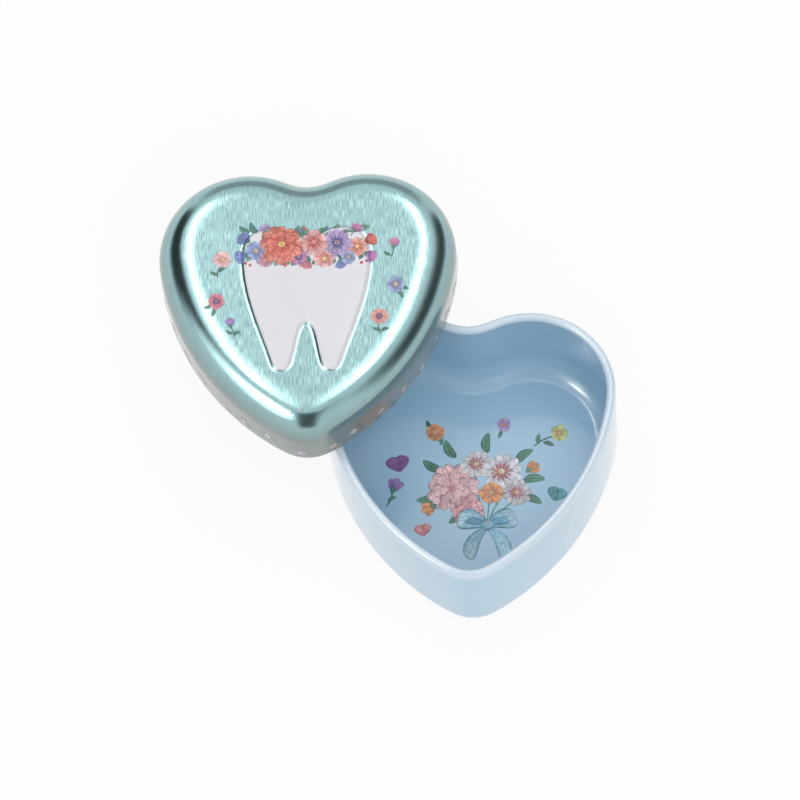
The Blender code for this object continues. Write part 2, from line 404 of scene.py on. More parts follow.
skirt_inside = LID_CLEARANCE + SHEET
outer_profile = np.concatenate([
    lid_face(0.0),
    [(skirt_inside + SHEET, 5 * MM), (skirt_inside + SHEET, 2 * MM)],
    arc((skirt_inside, SHEET), SHEET, 0, -180, 10),
    [(LID_CLEARANCE, HEM_HEIGHT), (skirt_inside, HEM_HEIGHT)],
])
inner_profile = lid_face(SHEET)
outer_blank, outer_grain = blank_of(outer_profile, heart, outer_profile[0, 0])
inner_blank, inner_grain = blank_of(inner_profile, heart, inner_profile[0, 0])
lid_grid = np.concatenate([sweep(outer_profile, heart), sweep(inner_profile, heart)[::-1]])
lid_rows, lid_columns = lid_grid.shape[:2]

tooth = tooth_loop()
ease = tooth_ease(tooth[0])
outside = np.concatenate([
    TOOTH_FOOT + np.linspace(1, 0, 6)[:-1, None] * ease[None],
    np.broadcast_to(TOOTH_FOOT - TOOTH_RAMP * np.linspace(0, 1, 13)[:, None], (13, len(ease))),
])
tooth_flat = tooth[0][None] + outside[..., None] * tooth[1][None]
tooth_height = tooth_rise(outside, ease[None])[..., None]
tooth_top = np.concatenate([tooth_flat, tooth_height + LID_HEIGHT], axis=2)
tooth_under = np.concatenate([tooth_flat, tooth_height + LID_HEIGHT - SHEET], axis=2)[::-1]
tooth_rows, tooth_columns = tooth_top.shape[:2]
lid_points = np.concatenate([grid.reshape(-1, 3) for grid in (lid_grid, tooth_top, tooth_under)])
top_start = lid_rows * lid_columns
under_start = top_start + tooth_rows * tooth_columns
ring, tooth_ring = np.arange(lid_columns), np.arange(tooth_columns)
last = (tooth_rows - 1) * tooth_columns
lid_faces = skin(lid_rows, lid_columns)[:, ::-1].tolist()
outside_faces = len(skin(len(outer_profile), lid_columns))
lid_faces += skin(tooth_rows, tooth_columns, under_start).tolist()
lid_faces += flat_between(
    ring + (lid_rows - 1) * lid_columns, [tooth_ring + under_start + last], lid_points, False).tolist()
lid_faces += flat_between(tooth_ring + under_start, [], lid_points, False).tolist()
inside_end = len(lid_faces)
lid_faces += skin(tooth_rows, tooth_columns, top_start).tolist()
lid_faces += flat_between(ring, [tooth_ring + top_start], lid_points, True).tolist()
lid_faces += flat_between(tooth_ring + top_start + last, [], lid_points, True).tolist()
lid = make_piece(
    "drawn_lid", lid_points + [*LID_MIDDLE, LID_BASE], lid_faces, teal_lacquer(), bare_tin())
side_of = np.zeros(len(lid_faces), np.int32)
side_of[outside_faces:inside_end] = 1
lid.data.polygons.foreach_set("material_index", side_of)
blank = np.concatenate([
    outer_blank.reshape(-1, 2), inner_blank[::-1].reshape(-1, 2), lid_points[top_start:, :2] / MM])
grain = np.concatenate([
    outer_grain.reshape(-1, 3), inner_grain[::-1].reshape(-1, 3),
    np.tile([1.0, 0.0, 0.0], (len(lid_points) - top_start, 1))])
corners = np.zeros(len(lid.data.loops), np.int32)
lid.data.loops.foreach_get("vertex_index", corners)
lid.data.uv_layers.new(name="blank").data.foreach_set("uv", blank[corners].astype(np.float32).ravel())
lid.data.attributes.new("grain", "FLOAT_VECTOR", "POINT").data.foreach_set(
    "vector", grain.astype(np.float32).ravel())
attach(lid, "lid")
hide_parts("lid")

# White of the tooth. Opaque white ink is printed on the flat sheet before it is struck. It sits a
# quarter of a millimetre to the right of the tooth, so a line of bare lacquer shows along left edges.
INK_LIFT = 0.03 * MM
INK_THICKNESS = 0.02 * MM
WHITE_EDGE = 0.24 * MM
WHITE_SHIFT = np.array([0.24 * MM, 0.0])
PANEL_EDGE_RUN = 0.17 * PANEL_EDGE_RADIUS


def white_ink():
    """Offset-printed opaque white under clear varnish: smooth, very faintly lilac, satin gloss."""
    material, tree, shader = new_material(
        "opaque_white_ink", Roughness=0.28, IOR=1.5, Coat_Weight=0.5, Coat_Roughness=0.12)
    place = add(tree, "TexCoord").outputs["Object"]
    cloud = noise(tree, place, 6 * MM, 3.0)
    tint = blend(tree, cloud, linear("#DCDAE2"), linear("#E2E0E7"))
    tree.links.new(tint, shader.inputs["Base Color"])
    film = noise(tree, place, 0.3 * MM, 1.0)
    bump = add(tree, "Bump", {"Height": film, "Strength": 0.1, "Distance": 0.005 * MM})
    tree.links.new(bump.outputs[0], shader.inputs["Normal"])
    return material


def thicken(piece):
    """Close an ink film into a thin slab under its face."""
    slab = piece.modifiers.new("film", "SOLIDIFY")
    slab.thickness = INK_THICKNESS
    slab.offset = -1


def beyond(flat, loop, normals):
    """Nearest loop point of each point, and the point's distance outside the loop."""
    nearest = np.argmin(((flat[:, None] - loop[None]) ** 2).sum(axis=2), axis=1)
    return nearest, ((flat - loop[nearest]) * normals[nearest]).sum(axis=1)


def on_panel(flat, lift):
    """Points on the lid's panel, which climb the tooth's ramp and sink with the panel's edge."""
    nearest, outside = beyond(flat, *tooth)
    _, past_edge = beyond(flat, *heart)
    past_edge = np.clip(past_edge - outer_profile[0, 0], 0, PANEL_EDGE_RUN)
    sink = PANEL_EDGE_RADIUS - np.sqrt(PANEL_EDGE_RADIUS**2 - past_edge**2)
    height = tooth_rise(outside, ease[nearest]) + LID_HEIGHT + LID_BASE + lift - sink
    return np.concatenate([flat + LID_MIDDLE, height[:, None]], axis=1)


inset = np.linspace(WHITE_EDGE, WHITE_EDGE - TOOTH_RAMP, 10)
white_flat = (tooth[0][None] + inset[:, None, None] * tooth[1][None]).reshape(-1, 2) + WHITE_SHIFT
white_points = on_panel(white_flat, INK_LIFT)
white_faces = skin(len(inset), tooth_columns).tolist()
white_faces += flat_between(
    tooth_ring + (len(inset) - 1) * tooth_columns, [], white_points, True).tolist()
tooth_white = make_piece("tooth_white_print", white_points, white_faces, white_ink())
thicken(tooth_white)
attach(tooth_white, "lid")

# Flower prints of the lid. Small flowers, buds and leaves are printed in process inks over the
# lacquer: a garland along the tooth's crown and single sprigs beside it. Each petal is a film of
# ink, shaded from its base to its end as a brush stroke is.
INK_STEP = 0.002 * MM
STROKE_ROWS, STROKE_COLUMNS = 9, 7
STROKE_END = 0.16
PETAL_BELLY = 0.62
chance = np.random.default_rng(11)
CORAL, RED, PINK = "#E8776B", "#D8505C", "#EBA0A6"
VIOLET, PLUM, BLUE = "#9B80C2", "#B4609A", "#5F7DBB"
GREEN, MOSS, STRAW = "#5E9C84", "#3E7563", "#F0C878"
DEEP_RED, DEEP_BLUE, BLUSH, LILAC = "#9E2B3C", "#34478A", "#F6CDC8", "#CDB8E4"
GARLAND_LEAVES = 30
GARLAND_HALF = 13.0
GARLAND_HEIGHT, GARLAND_SAG = 12.3, 0.010


def stroke(start, end, width, inner, outer, blunt=0.7, lean=0.35, bend=0.0, notch=0.0):
    """One brush stroke: its grid in millimetres and its two colours.

    With a from STROKE_END to pi less STROKE_END, a point lies (1 - cos a) / 2 of the way from start
    to end, and across it v from -1 to 1 times width sin(a)^blunt (1 - lean cos a) / 2. Bend bows it
    sideways, and notch draws its end back between the edges.
    """
    a = np.linspace(STROKE_END, math.pi - STROKE_END, STROKE_ROWS)[:, None]
    v = np.linspace(-1, 1, STROKE_COLUMNS)[None]
    start, end = np.asarray(start, float), np.asarray(end, float)
    run = end - start
    across = np.array([-run[1], run[0]]) / np.linalg.norm(run)
    share = (1 - np.cos(a)) / 2
    forward = share - notch * (1 - np.abs(v)) * share**4
    aside = v * width * np.sin(a) ** blunt * (1 - lean * np.cos(a)) / 2
    aside = aside + bend * np.linalg.norm(run) * np.sin(math.pi * share)
    return start + forward[..., None] * run + aside[..., None] * across, inner, outer


def at(centre, radius, degrees):
    """Point at a distance and bearing from another."""
    angle = math.radians(degrees)
    return centre[0] + radius * math.cos(angle), centre[1] + radius * math.sin(angle)


def dot(centre, radius, inner, outer=None):
    """Round dab of ink."""
    ends = at(centre, radius, 200), at(centre, radius, 20)
    return stroke(*ends, 2 * radius, inner, outer or inner, 1.0, 0.0)


def petals(centre, radius, count, inner, outer, turn=0.0, width=1.0, hollow=0.12, **shape):
    """Ring of petals, each a little off its even place. Width is a share of the room at their belly."""
    room = 2 * math.pi * radius * PETAL_BELLY / count
    marks = []
    for k in range(count):
        degrees = turn + 360 / count * (k + chance.uniform(-0.1, 0.1))
        reach = radius * chance.uniform(0.9, 1.08)
        marks.append(stroke(at(centre, radius * hollow, degrees), at(centre, reach, degrees),
                            width * room * chance.uniform(0.88, 1.12), inner, outer, **shape))
    return marks


def throat(centre, radius, count, colour, turn=0.0):
    """Fine darker strokes that run out of a flower's middle, two on each petal."""
    return [
        stroke(at(centre, radius * 0.12, turn + 360 * k / count + side),
               at(centre, radius * chance.uniform(0.5, 0.72), turn + 360 * k / count + side),
               radius * 0.07, colour, colour, 0.9, -0.5)
        for k in range(count) for side in (-60 / count, 60 / count)
    ]


def blossom(centre, radius, inner, outer, count=5, turn=0.0, eye=STRAW, deep=PLUM, **shape):
    """Open flower of one ring of petals round an eye with a few anthers."""
    marks = petals(centre, radius, count, inner, outer, turn, 1.25, **shape)
    marks += throat(centre, radius, count, deep, turn)
    marks += [stroke(at(centre, radius * 0.1, turn + 36 * k), at(centre, radius * 0.42, turn + 36 * k),
                     radius * 0.06, eye, eye) for k in range(10)]
    return marks + [dot(centre, radius * 0.17, eye, outer)]


def rosette(centre, radius, inner, outer, turn=0.0, eye=STRAW, deep=PLUM):
    """Double flower of three rings of petals, each smaller and turned against the last."""
    marks = petals(centre, radius, 7, inner, outer, turn, 1.3, notch=0.14)
    marks += throat(centre, radius, 7, deep, turn)
    marks += petals(centre, radius * 0.7, 7, inner, outer, turn + 26, 1.2, notch=0.14)
    marks += throat(centre, radius * 0.66, 7, deep, turn + 26)
    marks += petals(centre, radius * 0.45, 6, inner, outer, turn + 7, 1.2)
    return marks + [dot(centre, radius * 0.13, eye, inner)]


def leaf(base, degrees, length, inner=MOSS, outer=GREEN, width=0.42, bend=0.1):
    """Pointed leaf and its midrib."""
    end = at(base, length, degrees)
    rib = at(base, length * 0.85, degrees)
    return [
        stroke(base, end, width * length, inner, outer, 1.15, -0.15, bend),
        stroke(base, rib, 0.05 * length, MOSS, MOSS, 1.0, 0.0, bend),
    ]


def bud(base, degrees, length, inner, outer):
    """Closed flower of three petals in a green cup."""
    marks = [stroke(base, at(base, length * reach, degrees + side), length * 0.42, inner, outer, 0.8, 0.2)
             for side, reach in ((-26, 0.9), (26, 0.9), (0, 1.0))]
    return marks + [stroke(at(base, -0.12 * length, degrees), at(base, 0.34 * length, degrees),
                           0.36 * length, MOSS, GREEN, 0.9, 0.2)]


def stem(start, end, bend=0.0, colour=MOSS, width=0.28):
    """Thin line of ink."""
    return [stroke(start, end, width, colour, colour, 0.35, 0.0, bend)]


def process_inks():
    """Process inks under varnish. Each stroke has its painted colours, fine lines along it, a thin
    darker rim, and the uneven density of a watercolour original."""
    material, tree, shader = new_material(
        "process_inks", Roughness=0.28, IOR=1.5, Coat_Weight=0.5, Coat_Roughness=0.12)
    ink = add(tree, "Attribute", attribute_name="ink").outputs["Color"]
    place = add(tree, "TexCoord").outputs["Object"]
    wash = noise(tree, place, 0.9 * MM, 3.0)
    aside = add(tree, "SeparateXYZ", {0: add(tree, "UVMap", uv_map="stroke").outputs[0]}).outputs[1]
    rim = ramp(tree, math_node(tree, "ABSOLUTE", aside), 0.8, 1.0, 1.0, 0.66)
    wander = math_node(tree, "MULTIPLY_ADD", wash, 4.0, 0.0)
    phase = math_node(tree, "MULTIPLY_ADD", aside, 15.0, wander)
    line = ramp(tree, math_node(tree, "SINE", phase), -1.0, 1.0, 0.76, 1.12)
    density = ramp(tree, wash, 0.3, 0.7, 0.72, 1.16)
    both = math_node(tree, "MULTIPLY", math_node(tree, "MULTIPLY", rim, line), density)
    tree.links.new(blend(tree, 1.0, ink, both, "MULTIPLY"), shader.inputs["Base Color"])
    return material


def print_strokes(name, strokes, lay, material):
    """Mesh of strokes, each a step above those it crosses. Lay puts drawing points on the surface."""
    grids = np.array([grid for grid, _, _ in strokes]) * MM
    count = len(grids)
    low, high = grids.min(axis=(1, 2)), grids.max(axis=(1, 2))
    layer = np.ones(count)
    for k in range(1, count):
        under = ((low[:k] < high[k]) & (high[:k] > low[k])).all(axis=1)
        layer[k] = 1 + max(layer[:k][under], default=0)
    cells = STROKE_ROWS * STROKE_COLUMNS
    points = lay(grids.reshape(-1, 2), np.repeat(INK_LIFT + INK_STEP * layer, cells))
    here = np.arange(cells).reshape(STROKE_ROWS, STROKE_COLUMNS)[:-1, :-1].ravel()
    quad = np.stack([here, here + STROKE_COLUMNS, here + STROKE_COLUMNS + 1, here + 1], axis=1)
    faces = (quad[None] + cells * np.arange(count)[:, None, None]).reshape(-1, 4)
    piece = make_piece(name, points, faces.tolist(), material)
    u, v = np.meshgrid(np.linspace(0, 1, STROKE_ROWS), np.linspace(-1, 1, STROKE_COLUMNS), indexing="ij")
    ends = np.array([[linear(inner), linear(outer)] for _, inner, outer in strokes])
    ends[..., :3] *= chance.uniform(0.78, 1.12, (count, 1, 1))
    share = u.ravel()[None, :, None]
    tints = ends[:, :1] * (1 - share) + ends[:, 1:] * share
    piece.data.attributes.new("ink", "FLOAT_COLOR", "POINT").data.foreach_set(
        "color", tints.astype(np.float32).ravel())
    corner = np.zeros(len(piece.data.loops), np.int32)
    piece.data.loops.foreach_get("vertex_index", corner)
    uv = np.tile(np.stack([u.ravel(), v.ravel()], axis=1), (count, 1))
    piece.data.uv_layers.new(name="stroke").data.foreach_set("uv", uv[corner].astype(np.float32).ravel())
    thicken(piece)
    return piece


def peony(centre, radius, turn=0.0):
    """Large flower of broad notched petals, dark at the throat, with a cupped middle."""
    marks = petals(centre, radius, 6, "#C23B45", "#F09A86", turn, 1.5, notch=0.16)
    marks += throat(centre, radius, 12, DEEP_RED, turn)
    marks += petals(centre, radius * 0.72, 5, "#CF444A", "#EE8A78", turn + 31, 1.35, notch=0.2)
    marks += throat(centre, radius * 0.7, 10, DEEP_RED, turn + 31)
    marks += petals(centre, radius * 0.42, 5, "#B5323F", "#E8776B", turn + 8, 1.2)
    return marks + [dot(at(centre, radius * 0.1, turn + 60 * k), radius * 0.07, STRAW) for k in range(6)]


def aster(centre, radius, inner, outer, turn=0.0):
    """Flower of two rings of narrow pointed petals and a dark dotted eye."""
    marks = petals(centre, radius, 13, inner, outer, turn, 1.25, blunt=1.0, lean=0.1)
    marks += petals(centre, radius * 0.66, 11, inner, outer, turn + 12, 1.15, blunt=1.0, lean=0.1)
    marks += throat(centre, radius * 0.8, 11, DEEP_BLUE, turn)
    marks += [dot(centre, radius * 0.17, "#5B3B7E", "#7C5BA3")]
    return marks + [dot(at(centre, radius * 0.12, 72 * k), radius * 0.045, STRAW) for k in range(5)]


def bell(tip, degrees, length, inner, outer):
    """Hanging bellflower on a short stalk, its cup flared at the mouth."""
    marks = stem(at(tip, -0.5 * length, degrees), tip, 0.1, MOSS, 0.22)
    marks += [stroke(tip, at(tip, length * reach, degrees + side), length * 0.5, inner, outer, 0.6, 0.45)
              for side, reach in ((-24, 0.95), (24, 0.95), (0, 1.0))]
    return marks + [stroke(at(tip, -0.05 * length, degrees), at(tip, 0.26 * length, degrees),
                           0.36 * length, MOSS, GREEN, 0.8, 0.1)]


garland = []
for k in range(GARLAND_LEAVES):
    share = (k + chance.uniform(-0.3, 0.3)) / (GARLAND_LEAVES - 1)
    across = GARLAND_HALF * (2 * share - 1)
    upward = k % 2 == 0
    degrees = 90 - 4.4 * across + chance.uniform(-30, 30)
    middle = GARLAND_HEIGHT + GARLAND_SAG * across**2
    base = (across * 0.95, middle + (2.2 if upward else -2.6))
    garland += leaf(base, degrees if upward else degrees + 180 + 6.0 * across, chance.uniform(2.2, 3.3),
                    MOSS, (GREEN, "#86B8A0", "#4F8C8A")[k % 3], 0.46)
for tip, degrees, length, inner, outer in (
        ((-12.6, 13.6), 140, 3.1, DEEP_BLUE, "#7E97D2"), ((-13.0, 10.6), 196, 3.0, "#4A63AC", "#8DA4DA"),
        ((13.1, 13.2), 28, 2.8, DEEP_RED, CORAL), ((13.0, 10.4), -24, 2.8, "#7A3F86", "#C98BC4"),
        ((-8.8, 15.8), 112, 2.4, "#7A5AA8", LILAC), ((10.6, 15.6), 60, 2.5, "#A8508C", "#E0A0CB"),
        ((0.4, 8.9), 256, 2.3, DEEP_RED, PINK), ((7.4, 8.7), 282, 2.2, "#4A63AC", "#8DA4DA")):
    garland += bell(tip, degrees, length, inner, outer)
garland += blossom((-11.0, 11.3), 2.4, "#5A78BC", "#A9BCE6", 5, 12, deep=DEEP_BLUE, notch=0.2)
garland += blossom((11.4, 12.0), 2.4, "#DB6A5E", "#F6BBAE", 5, 40, deep=DEEP_RED, notch=0.2)
garland += blossom((-9.0, 8.9), 1.7, "#B4508C", "#EBB2D2", 5, 30, notch=0.15)
garland += blossom((9.4, 9.4), 1.7, "#5F7DBB", "#B9C8EC", 5, 10, deep=DEEP_BLUE, notch=0.15)
garland += blossom((4.1, 9.2), 2.4, "#D9687A", BLUSH, 5, 54, deep=DEEP_RED, notch=0.18)
garland += aster((6.9, 13.0), 3.6, "#7A5AA8", LILAC, 12)
garland += blossom((1.7, 13.2), 3.3, "#DE6F72", BLUSH, 6, 30, CORAL, DEEP_RED, notch=0.16)
garland += aster((-1.6, 9.6), 2.2, "#A8508C", "#E0A0CB", 6)
garland += peony((-5.4, 12.8), 4.7, 14)
for place, colour in (
        ((-13.4, 8.4), RED), ((-12.4, 7.9), CORAL), ((-4.6, 7.6), RED), ((13.4, 8.4), PLUM),
        ((12.3, 8.0), RED), ((4.6, 16.9), BLUE), ((-1.4, 16.4), VIOLET), ((-0.4, 16.9), RED)):
    garland += [dot(place, 0.38, colour)]

sprigs = []
sprigs += stem((-19.6, 5.2), (-18.6, 8.6), 0.1)
sprigs += leaf((-19.4, 6.0), 160, 2.0) + leaf((-19.3, 6.6), 35, 1.9)
sprigs += blossom((-18.6, 9.6), 2.1, PINK, "#F8DEDF", 5, 18, deep="#C77A86", notch=0.18)
sprigs += leaf((-20.2, -2.2), 250, 2.2) + leaf((-20.8, -1.4), 200, 2.1)
sprigs += aster((-19.8, -0.6), 2.0, "#C23B5C", "#EE9AA8", 10)
sprigs += stem((-15.9, -9.8), (-16.6, -6.9), -0.1)
sprigs += leaf((-16.0, -9.0), 30, 1.9) + leaf((-16.1, -8.6), 150, 1.8)
sprigs += bud((-16.6, -6.9), 98, 2.3, VIOLET, "#B79BD3")
sprigs += stem((18.7, 9.4), (19.3, 12.0), -0.1) + leaf((18.8, 10.0), 150, 1.9)
sprigs += bud((19.3, 11.8), 80, 2.6, PLUM, "#D79CC4")
sprigs += leaf((20.3, 1.2), -60, 2.2) + leaf((20.9, 2.0), -15, 2.0)
sprigs += blossom((19.9, 2.8), 2.1, "#5F7DBB", "#B9C8EC", 5, 0, deep=DEEP_BLUE, notch=0.15)
sprigs += stem((16.7, -9.4), (16.2, -5.9), 0.12)
sprigs += leaf((16.6, -8.6), 20, 2.0) + leaf((16.5, -8.2), 165, 1.9)
sprigs += aster((16.2, -5.0), 2.0, "#DB6A5E", "#F6BBAE", 12)

inks = process_inks()
garland_print = print_strokes("garland_print", garland, on_panel, inks)
sprig_print = print_strokes("sprig_print", sprigs, on_panel, inks)
for piece in (garland_print, sprig_print):
    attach(piece, "lid")

# Skirt prints. Tiny pale flowers and buds run round the lid's skirt, a tint lighter than the metal,
# printed flat and wrapped when the sheet is drawn.
SKIRT_MOTIFS = 30
SKIRT_ROUND = 208.0


def on_skirt(flat, lift):
    """Points on the skirt: across is length round the heart, counterclockwise, and up is height."""
    loop, normals = heart
    closed = np.concatenate([loop, loop[:1]])
    turned = np.concatenate([normals, normals[:1]])
    length = np.concatenate([[0.0], np.cumsum(np.linalg.norm(np.diff(closed, axis=0), axis=1))])
    where = (-flat[:, 0]) % length[-1]
    x, y, nx, ny = (np.interp(where, length, line) for line in (*closed.T, *turned.T))
    out = LID_CLEARANCE + 2 * SHEET + lift
    x, y = x + out * nx + LID_MIDDLE[0], y + out * ny + LID_MIDDLE[1]
    return np.stack([x, y, flat[:, 1] + LID_BASE], axis=1)


skirt = []
for k in range(SKIRT_MOTIFS):
    middle = (k + 0.5) * SKIRT_ROUND / SKIRT_MOTIFS + chance.uniform(-1.0, 1.0)
    height = 2.7 + chance.uniform(-1.0, 1.4)
    pale, paler = (("#D7B3B9", "#EAD3D4"), ("#C9D0D2", "#E6E9E8"), ("#CDB7D2", "#E4D8E6"))[k % 3]
    skirt += stem((middle, height), (middle + 1.9, height - 1.2), 0.15, "#C4CFC9", 0.13)
    skirt += stem((middle, height), (middle - 1.7, height - 1.4), -0.15, "#C4CFC9", 0.13)
    skirt += leaf((middle + 1.2, height - 0.9), -5, 1.0, "#AFC0B7", "#C9D5CE")
    skirt += petals((middle, height), 1.0, 5 + k % 2, pale, paler, 31 * k, 1.0)
    skirt += [dot((middle, height), 0.18, "#E2D6AE")]
skirt_print = print_strokes("skirt_print", skirt, on_skirt, inks)
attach(skirt_print, "lid")

# Floor print of the tray. A posy tied with a pale blue bow lies in the front of the floor, with
# hearts and single sprigs scattered round it, in the same inks under the lacquer.
SKY, ICE, ORANGE = "#6FB3CF", "#BFE0EC", "#E8874E"


def on_floor(flat, lift):
    """Points on the tray's flat floor."""
    return np.concatenate([flat, (SHEET + lift)[:, None]], axis=1)


def little_heart(centre, size, inner, outer, turn=0.0):
    """Heart of two strokes that share their pointed end."""
    foot = at(centre, size * 0.62, turn - 90)
    return [stroke(foot, at(foot, size * 1.15, turn + 90 + side), size * 0.72, inner, outer, 0.8, 0.55)
            for side in (-24, 24)]


posy = []
for degrees, length in ((100, 15), (122, 14), (78, 15), (140, 12), (60, 13), (40, 11)):
    posy += stem((3.0, -7.5), at((3.0, -7.5), length, degrees), 0.05, GREEN, 0.35)
for base, degrees, length in (
        ((-7, 6), 150, 5), ((-4, 9), 118, 5), ((9.5, 7.5), 40, 5), ((11, 3), 5, 5),
        ((3, 10), 86, 5), ((-8, 0), 195, 5), ((11, -1), -20, 4.5), ((-3, -4), 230, 4)):
    posy += leaf(base, degrees, length)
posy += rosette((-4.8, 1.4), 6.0, "#E9A9AE", "#F4CDCE", 5, "#E58E8E")
posy += rosette((-1.2, -4.2), 3.8, "#E58E98", "#F2BFC3", 25, "#D8707C")
posy += blossom((6.2, 5.4), 4.6, "#D9D6D8", "#F5F3F5", 12, 8, "#E3B25A", lean=0.2)
posy += blossom((0.6, 7.4), 3.5, "#CFCBCD", "#EDEAEC", 11, 20, "#E3B25A", lean=0.2)
posy += blossom((9.6, 0.2), 3.3, "#C2BDBD", "#E3DFDF", 11, 0, "#D99A4E", lean=0.2)
posy += blossom((3.9, 0.3), 2.6, ORANGE, "#F3B27E", 6, 12)
posy += bud((-8.6, -2.6), 205, 3.4, ORANGE, "#F2A873") + bud((12.0, 5.4), 35, 3.2, ORANGE, "#F2A873")
for start, reach, width, inner, outer, blunt, lean, ends in (
        ((3.0, -8.0), 9.0, 3.1, SKY, ICE, 0.8, 0.5, ((-62, 0.12), (-118, -0.12))),
        ((3.0, -7.6), 6.8, 4.6, SKY, ICE, 0.75, 0.45, ((12, 0.1), (168, -0.1))),
        ((3.0, -7.6), 5.0, 1.7, "#4F97B8", SKY, 0.9, 0.3, ((10, 0.1), (170, -0.1)))):
    posy += [stroke(start, at(start, reach, degrees), width, inner, outer, blunt, lean, bend)
             for degrees, bend in ends]
posy += [dot((3.0, -7.6), 1.3, SKY, "#A5D3E4")]

scatter = []
scatter += little_heart((-17.0, 8.0), 3.6, "#8A5A9C", "#A577B4", 14)
scatter += little_heart((18.6, -0.2), 3.0, "#2E8C95", "#4BA6AC", -18)
scatter += little_heart((-11.4, -8.4), 2.6, "#D8707C", "#E9A0A6", 8)
scatter += stem((13.4, 11.4), (18.4, 14.0), 0.08, MOSS, 0.35)
scatter += leaf((14.6, 12.0), 85, 2.6) + leaf((15.6, 12.4), -20, 2.6)
scatter += blossom((19.2, 14.6), 2.0, "#C9CF6A", "#E1E49A", 6, 10, "#D9A94E")
scatter += leaf((-9.2, 16.2), 120, 2.6) + leaf((-8.0, 14.6), -70, 2.6)
scatter += blossom((-8.6, 15.4), 2.1, ORANGE, "#F4B683", 5, 18)
scatter += stem((-19.6, -2.6), (-18.2, 1.2), -0.1, MOSS, 0.35) + leaf((-19.2, -1.4), 30, 2.2)
scatter += bud((-18.2, 1.0), 68, 3.6, "#7E63A8", "#A98BC6")
scatter += blossom((6.8, 17.0), 1.7, VIOLET, "#C4AFDA", 5, 0) + leaf((6.2, 15.6), -110, 2.0)

posy_print = print_strokes("posy_print", posy, on_floor, inks)
scatter_print = print_strokes("scatter_print", scatter, on_floor, inks)
for piece in (posy_print, scatter_print):
    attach(piece, "tray")

# Camera. It looks down at the tin at 65 degrees through a long lens, from nearly two metres away,
# and is turned and rolled a few degrees, as the photograph is.
CAMERA_AIM = Vector((-16.5 * MM, 23.7 * MM, 0.0))
CAMERA_DISTANCE = 1955.0 * MM
CAMERA_AZIMUTH, CAMERA_ELEVATION, CAMERA_ROLL = -5.48, 64.72, -6.06
LENS = 391.5

azimuth, elevation = math.radians(CAMERA_AZIMUTH), math.radians(CAMERA_ELEVATION)
forward = Vector((
    math.cos(elevation) * math.sin(azimuth),
    math.cos(elevation) * math.cos(azimuth),
    -math.sin(elevation),
))
level = forward.cross(Vector((0, 0, 1))).normalized()
right = Matrix.Rotation(math.radians(-CAMERA_ROLL), 3, forward) @ level
camera = bpy.data.objects.new("camera", bpy.data.cameras.new("camera"))
bpy.context.scene.collection.objects.link(camera)
camera.data.lens = LENS
camera.data.sensor_width = 36.0
camera.data.clip_end = 100.0
turned = Matrix((right, right.cross(forward), -forward)).transposed()
camera.matrix_world = Matrix.Translation(CAMERA_AIM - CAMERA_DISTANCE * forward) @ turned.to_4x4()
bpy.context.scene.camera = camera

# Floor and light. A plain white table in a white studio, with two strip lamps over the tin, a soft
# window to its front left and a large lamp in front. Soft-edged bright and dark cards, which only
# reflections see, give the lid its bright ring and dark bands.
TABLE_SIZE = 8.0
TABLE_GAP = 0.05 * MM
FLOOR_LIFT = 0.9
FILL = 0.52
GLOW = 2.7
LAMP_GLOW = 12.0
CARD_CELLS = 32


def seen_directly(tree):
    """1 for camera, glossy and transmitted rays, and 0 for the light that falls on things."""
    path = add(tree, "LightPath").outputs
    both = math_node(tree, "MAXIMUM", path["Is Camera Ray"], path["Is Glossy Ray"])
    return math_node(tree, "MAXIMUM", both, path["Is Transmission Ray"])


table, tree, shader = new_material("white_table", Roughness=0.9)
shader.inputs["Base Color"].default_value = linear("#F4F4F4")
glow = add(tree, "Emission", {"Color": linear("#FFFFFF"), "Strength": 1.0})
share = math_node(tree, "MULTIPLY", seen_directly(tree), FLOOR_LIFT)
mixed = add(tree, "MixShader", {0: share, 1: shader.outputs[0], 2: glow.outputs[0]})
tree.links.new(mixed.outputs[0], tree.nodes["Material Output"].inputs["Surface"])
reach = TABLE_SIZE / 2
table_corners = [(x * reach, y * reach, -TABLE_GAP) for x, y in ((-1, -1), (1, -1), (1, 1), (-1, 1))]
floor = make_piece("table", table_corners, [(0, 1, 2, 3)], table)

world = bpy.data.worlds.new("studio")
bpy.context.scene.world = world
world.use_nodes = True
tree = world.node_tree
strength = ramp(tree, seen_directly(tree), 0.0, 1.0, FILL, 1.0)
tree.links.new(strength, tree.nodes["Background"].inputs["Strength"])
tree.nodes["Background"].inputs["Color"].default_value = linear("#FFFFFF")


def veiled(name, colour, strength=0.0):
    """Matt material of a card, or a glowing one. It is clear where the card's veil is 0."""
    material, tree, shader = new_material(name, Roughness=0.9, Specular_IOR_Level=0.0)
    shader.inputs["Base Color"].default_value = linear(colour)
    surface = shader.outputs[0]
    if strength:
        surface = add(tree, "Emission", {"Color": linear(colour), "Strength": strength}).outputs[0]
    veil = add(tree, "Attribute", attribute_name="veil").outputs["Fac"]
    clear = add(tree, "BsdfTransparent").outputs[0]
    shown = add(tree, "MixShader", {0: veil, 1: clear, 2: surface})
    tree.links.new(shown.outputs[0], tree.nodes["Material Output"].inputs["Surface"])
    return material


